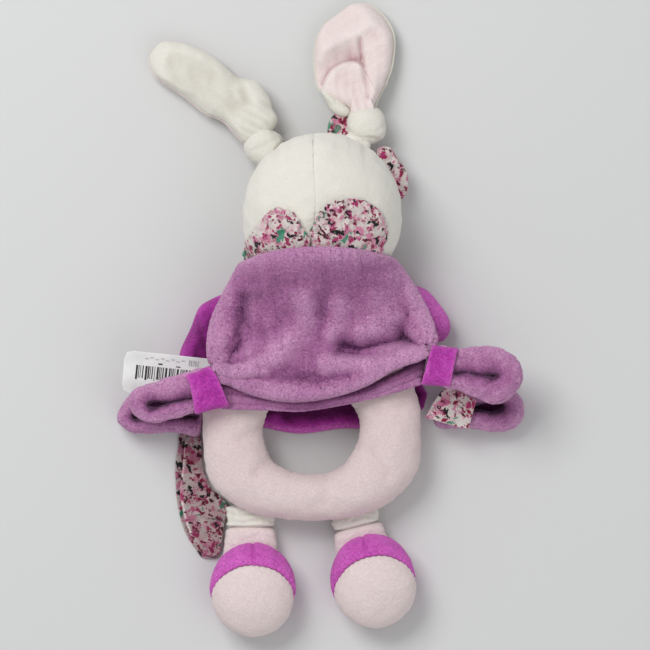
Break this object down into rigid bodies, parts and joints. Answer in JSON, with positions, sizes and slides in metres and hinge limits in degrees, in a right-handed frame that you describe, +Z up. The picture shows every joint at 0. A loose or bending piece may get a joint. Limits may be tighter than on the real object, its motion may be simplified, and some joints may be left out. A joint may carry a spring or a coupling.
{
  "type": "stuffed rabbit comforter toy",
  "caption": "Soft stuffed rabbit with knotted ears, a loose skirt gathered into side bows, and a round padded grip ring above its feet.",
  "frame": {"origin": "middle of the outline, on the surface that the toy lies on, face down", "axes": "+Y from the feet towards the ears, +Z up out of the toy's back, +X to the right seen from above"},
  "size_m": [0.2039, 0.3177, 0.072],
  "materials": {
    "cream_plush": "short-pile cream plush",
    "pink_plush": "pale pink velour",
    "mauve_velour": "thick mauve velour",
    "purple_velour": "bright purple velour",
    "floral_cotton": "printed cotton with small petals and leaves",
    "satin_label": "white satin",
    "fibre": "white polyester fibre",
    "eye_thread": "satin-stitched embroidery",
    "nose_thread": "satin-stitched embroidery"
  },
  "bodies": {
    "trunk": {"bodice": "purple_velour", "bodice_stuffing": "fibre"},
    "head": {"head_back_left": "cream_plush", "head_back_right": "cream_plush", "head_face": "cream_plush", "head_stuffing": "fibre", "nose_embroidery": "nose_thread", "eye_left": "eye_thread", "eye_right": "eye_thread", "collar_back_left": "floral_cotton", "collar_back_right": "floral_cotton", "collar_front_left": "floral_cotton", "collar_front_right": "floral_cotton", "ear_left_root": "cream_plush", "ear_right_root": "cream_plush", "ear_ribbon_short_end": "floral_cotton", "ear_ribbon_long_end": "floral_cotton"},
    "ear_left": {"ear_left_outer": "cream_plush", "ear_left_lining": "pink_plush", "ear_left_knot": "cream_plush"},
    "ear_right": {"ear_right_lining": "pink_plush", "ear_right_outer": "cream_plush", "ear_right_knot": "cream_plush"},
    "arm_left": {"arm_left_sleeve": "purple_velour", "arm_left_stuffing": "fibre"},
    "arm_right": {"arm_right_sleeve": "purple_velour", "arm_right_stuffing": "fibre"},
    "ring": {"ring_back_panel": "pink_plush", "ring_front_panel": "pink_plush", "ring_stuffing": "fibre", "dress_front_panel": "purple_velour", "bow_front_loop_left": "mauve_velour", "bow_front_loop_right": "mauve_velour", "ribbon_tag": "floral_cotton"},
    "ribbon_tail": {"ribbon_tail_under": "floral_cotton", "ribbon_tail_upper": "floral_cotton"},
    "leg_left": {"leg_left_thigh": "cream_plush", "leg_left_sock": "pink_plush"},
    "foot_left": {"foot_left_shoe": "purple_velour", "foot_left_sole": "pink_plush", "foot_left_stuffing": "fibre"},
    "leg_right": {"leg_right_thigh": "cream_plush", "leg_right_sock": "pink_plush"},
    "foot_right": {"foot_right_shoe": "purple_velour", "foot_right_sole": "pink_plush", "foot_right_stuffing": "fibre"},
    "dress_back": {"dress_back_panel": "mauve_velour", "dress_back_hem": "mauve_velour", "bow_back_loop_left": "mauve_velour", "bow_back_band_left": "purple_velour", "bow_back_loop_right": "mauve_velour", "bow_back_band_right": "purple_velour", "care_label": "satin_label"}
  },
  "joints": [
    {"name": "head_turn", "type": "hinge", "parent": "trunk", "child": "head", "pos_m": [0, 0.012, 0.033], "axis": [0, 1, 0], "range_deg": [-15, 15]},
    {"name": "ear_left_flop", "type": "hinge", "parent": "head", "child": "ear_left", "pos_m": [-0.0287, 0.086, 0.012], "axis": [0.6157, 0.788, 0], "range_deg": [-90, 75]},
    {"name": "ear_right_flop", "type": "hinge", "parent": "head", "child": "ear_right", "pos_m": [0.0225, 0.097, 0.013], "axis": [0.9945, 0.1045, 0], "range_deg": [-90, 75]},
    {"name": "arm_left_swing", "type": "hinge", "parent": "trunk", "child": "arm_left", "pos_m": [-0.038, 0.008, 0.01], "axis": [0, 0, 1], "range_deg": [-85, 0]},
    {"name": "arm_right_swing", "type": "hinge", "parent": "trunk", "child": "arm_right", "pos_m": [0.038, 0.009, 0.01], "axis": [0, 0, 1], "range_deg": [0, 90]},
    {"name": "ring_swing", "type": "hinge", "parent": "trunk", "child": "ring", "pos_m": [0, -0.0092, 0], "axis": [1, 0, 0], "range_deg": [0, 90]},
    {"name": "leg_left_swing", "type": "hinge", "parent": "ring", "child": "leg_left", "pos_m": [-0.0358, -0.099, 0.0065], "axis": [1, 0, 0], "range_deg": [0, 90]},
    {"name": "leg_right_swing", "type": "hinge", "parent": "ring", "child": "leg_right", "pos_m": [0.0165, -0.099, 0.0065], "axis": [0.9703, 0.2419, 0], "range_deg": [0, 90]},
    {"name": "foot_left_bend", "type": "hinge", "parent": "leg_left", "child": "foot_left", "pos_m": [-0.0358, -0.1165, 0.0065], "axis": [1, 0, 0], "range_deg": [-25, 25]},
    {"name": "foot_right_bend", "type": "hinge", "parent": "leg_right", "child": "foot_right", "pos_m": [0.02013, -0.11355, 0.0065], "axis": [0.9703, 0.2419, 0], "range_deg": [-25, 25]},
    {"name": "dress_back_lift", "type": "hinge", "parent": "trunk", "child": "dress_back", "pos_m": [0, 0.035, 0.068], "axis": [1, 0, 0], "range_deg": [-70, 0]},
    {"name": "ribbon_tail_swing", "type": "hinge", "parent": "ring", "child": "ribbon_tail", "pos_m": [-0.064, -0.06, 0.002], "axis": [0, 0, 1], "range_deg": [-35, 0]}
  ]
}
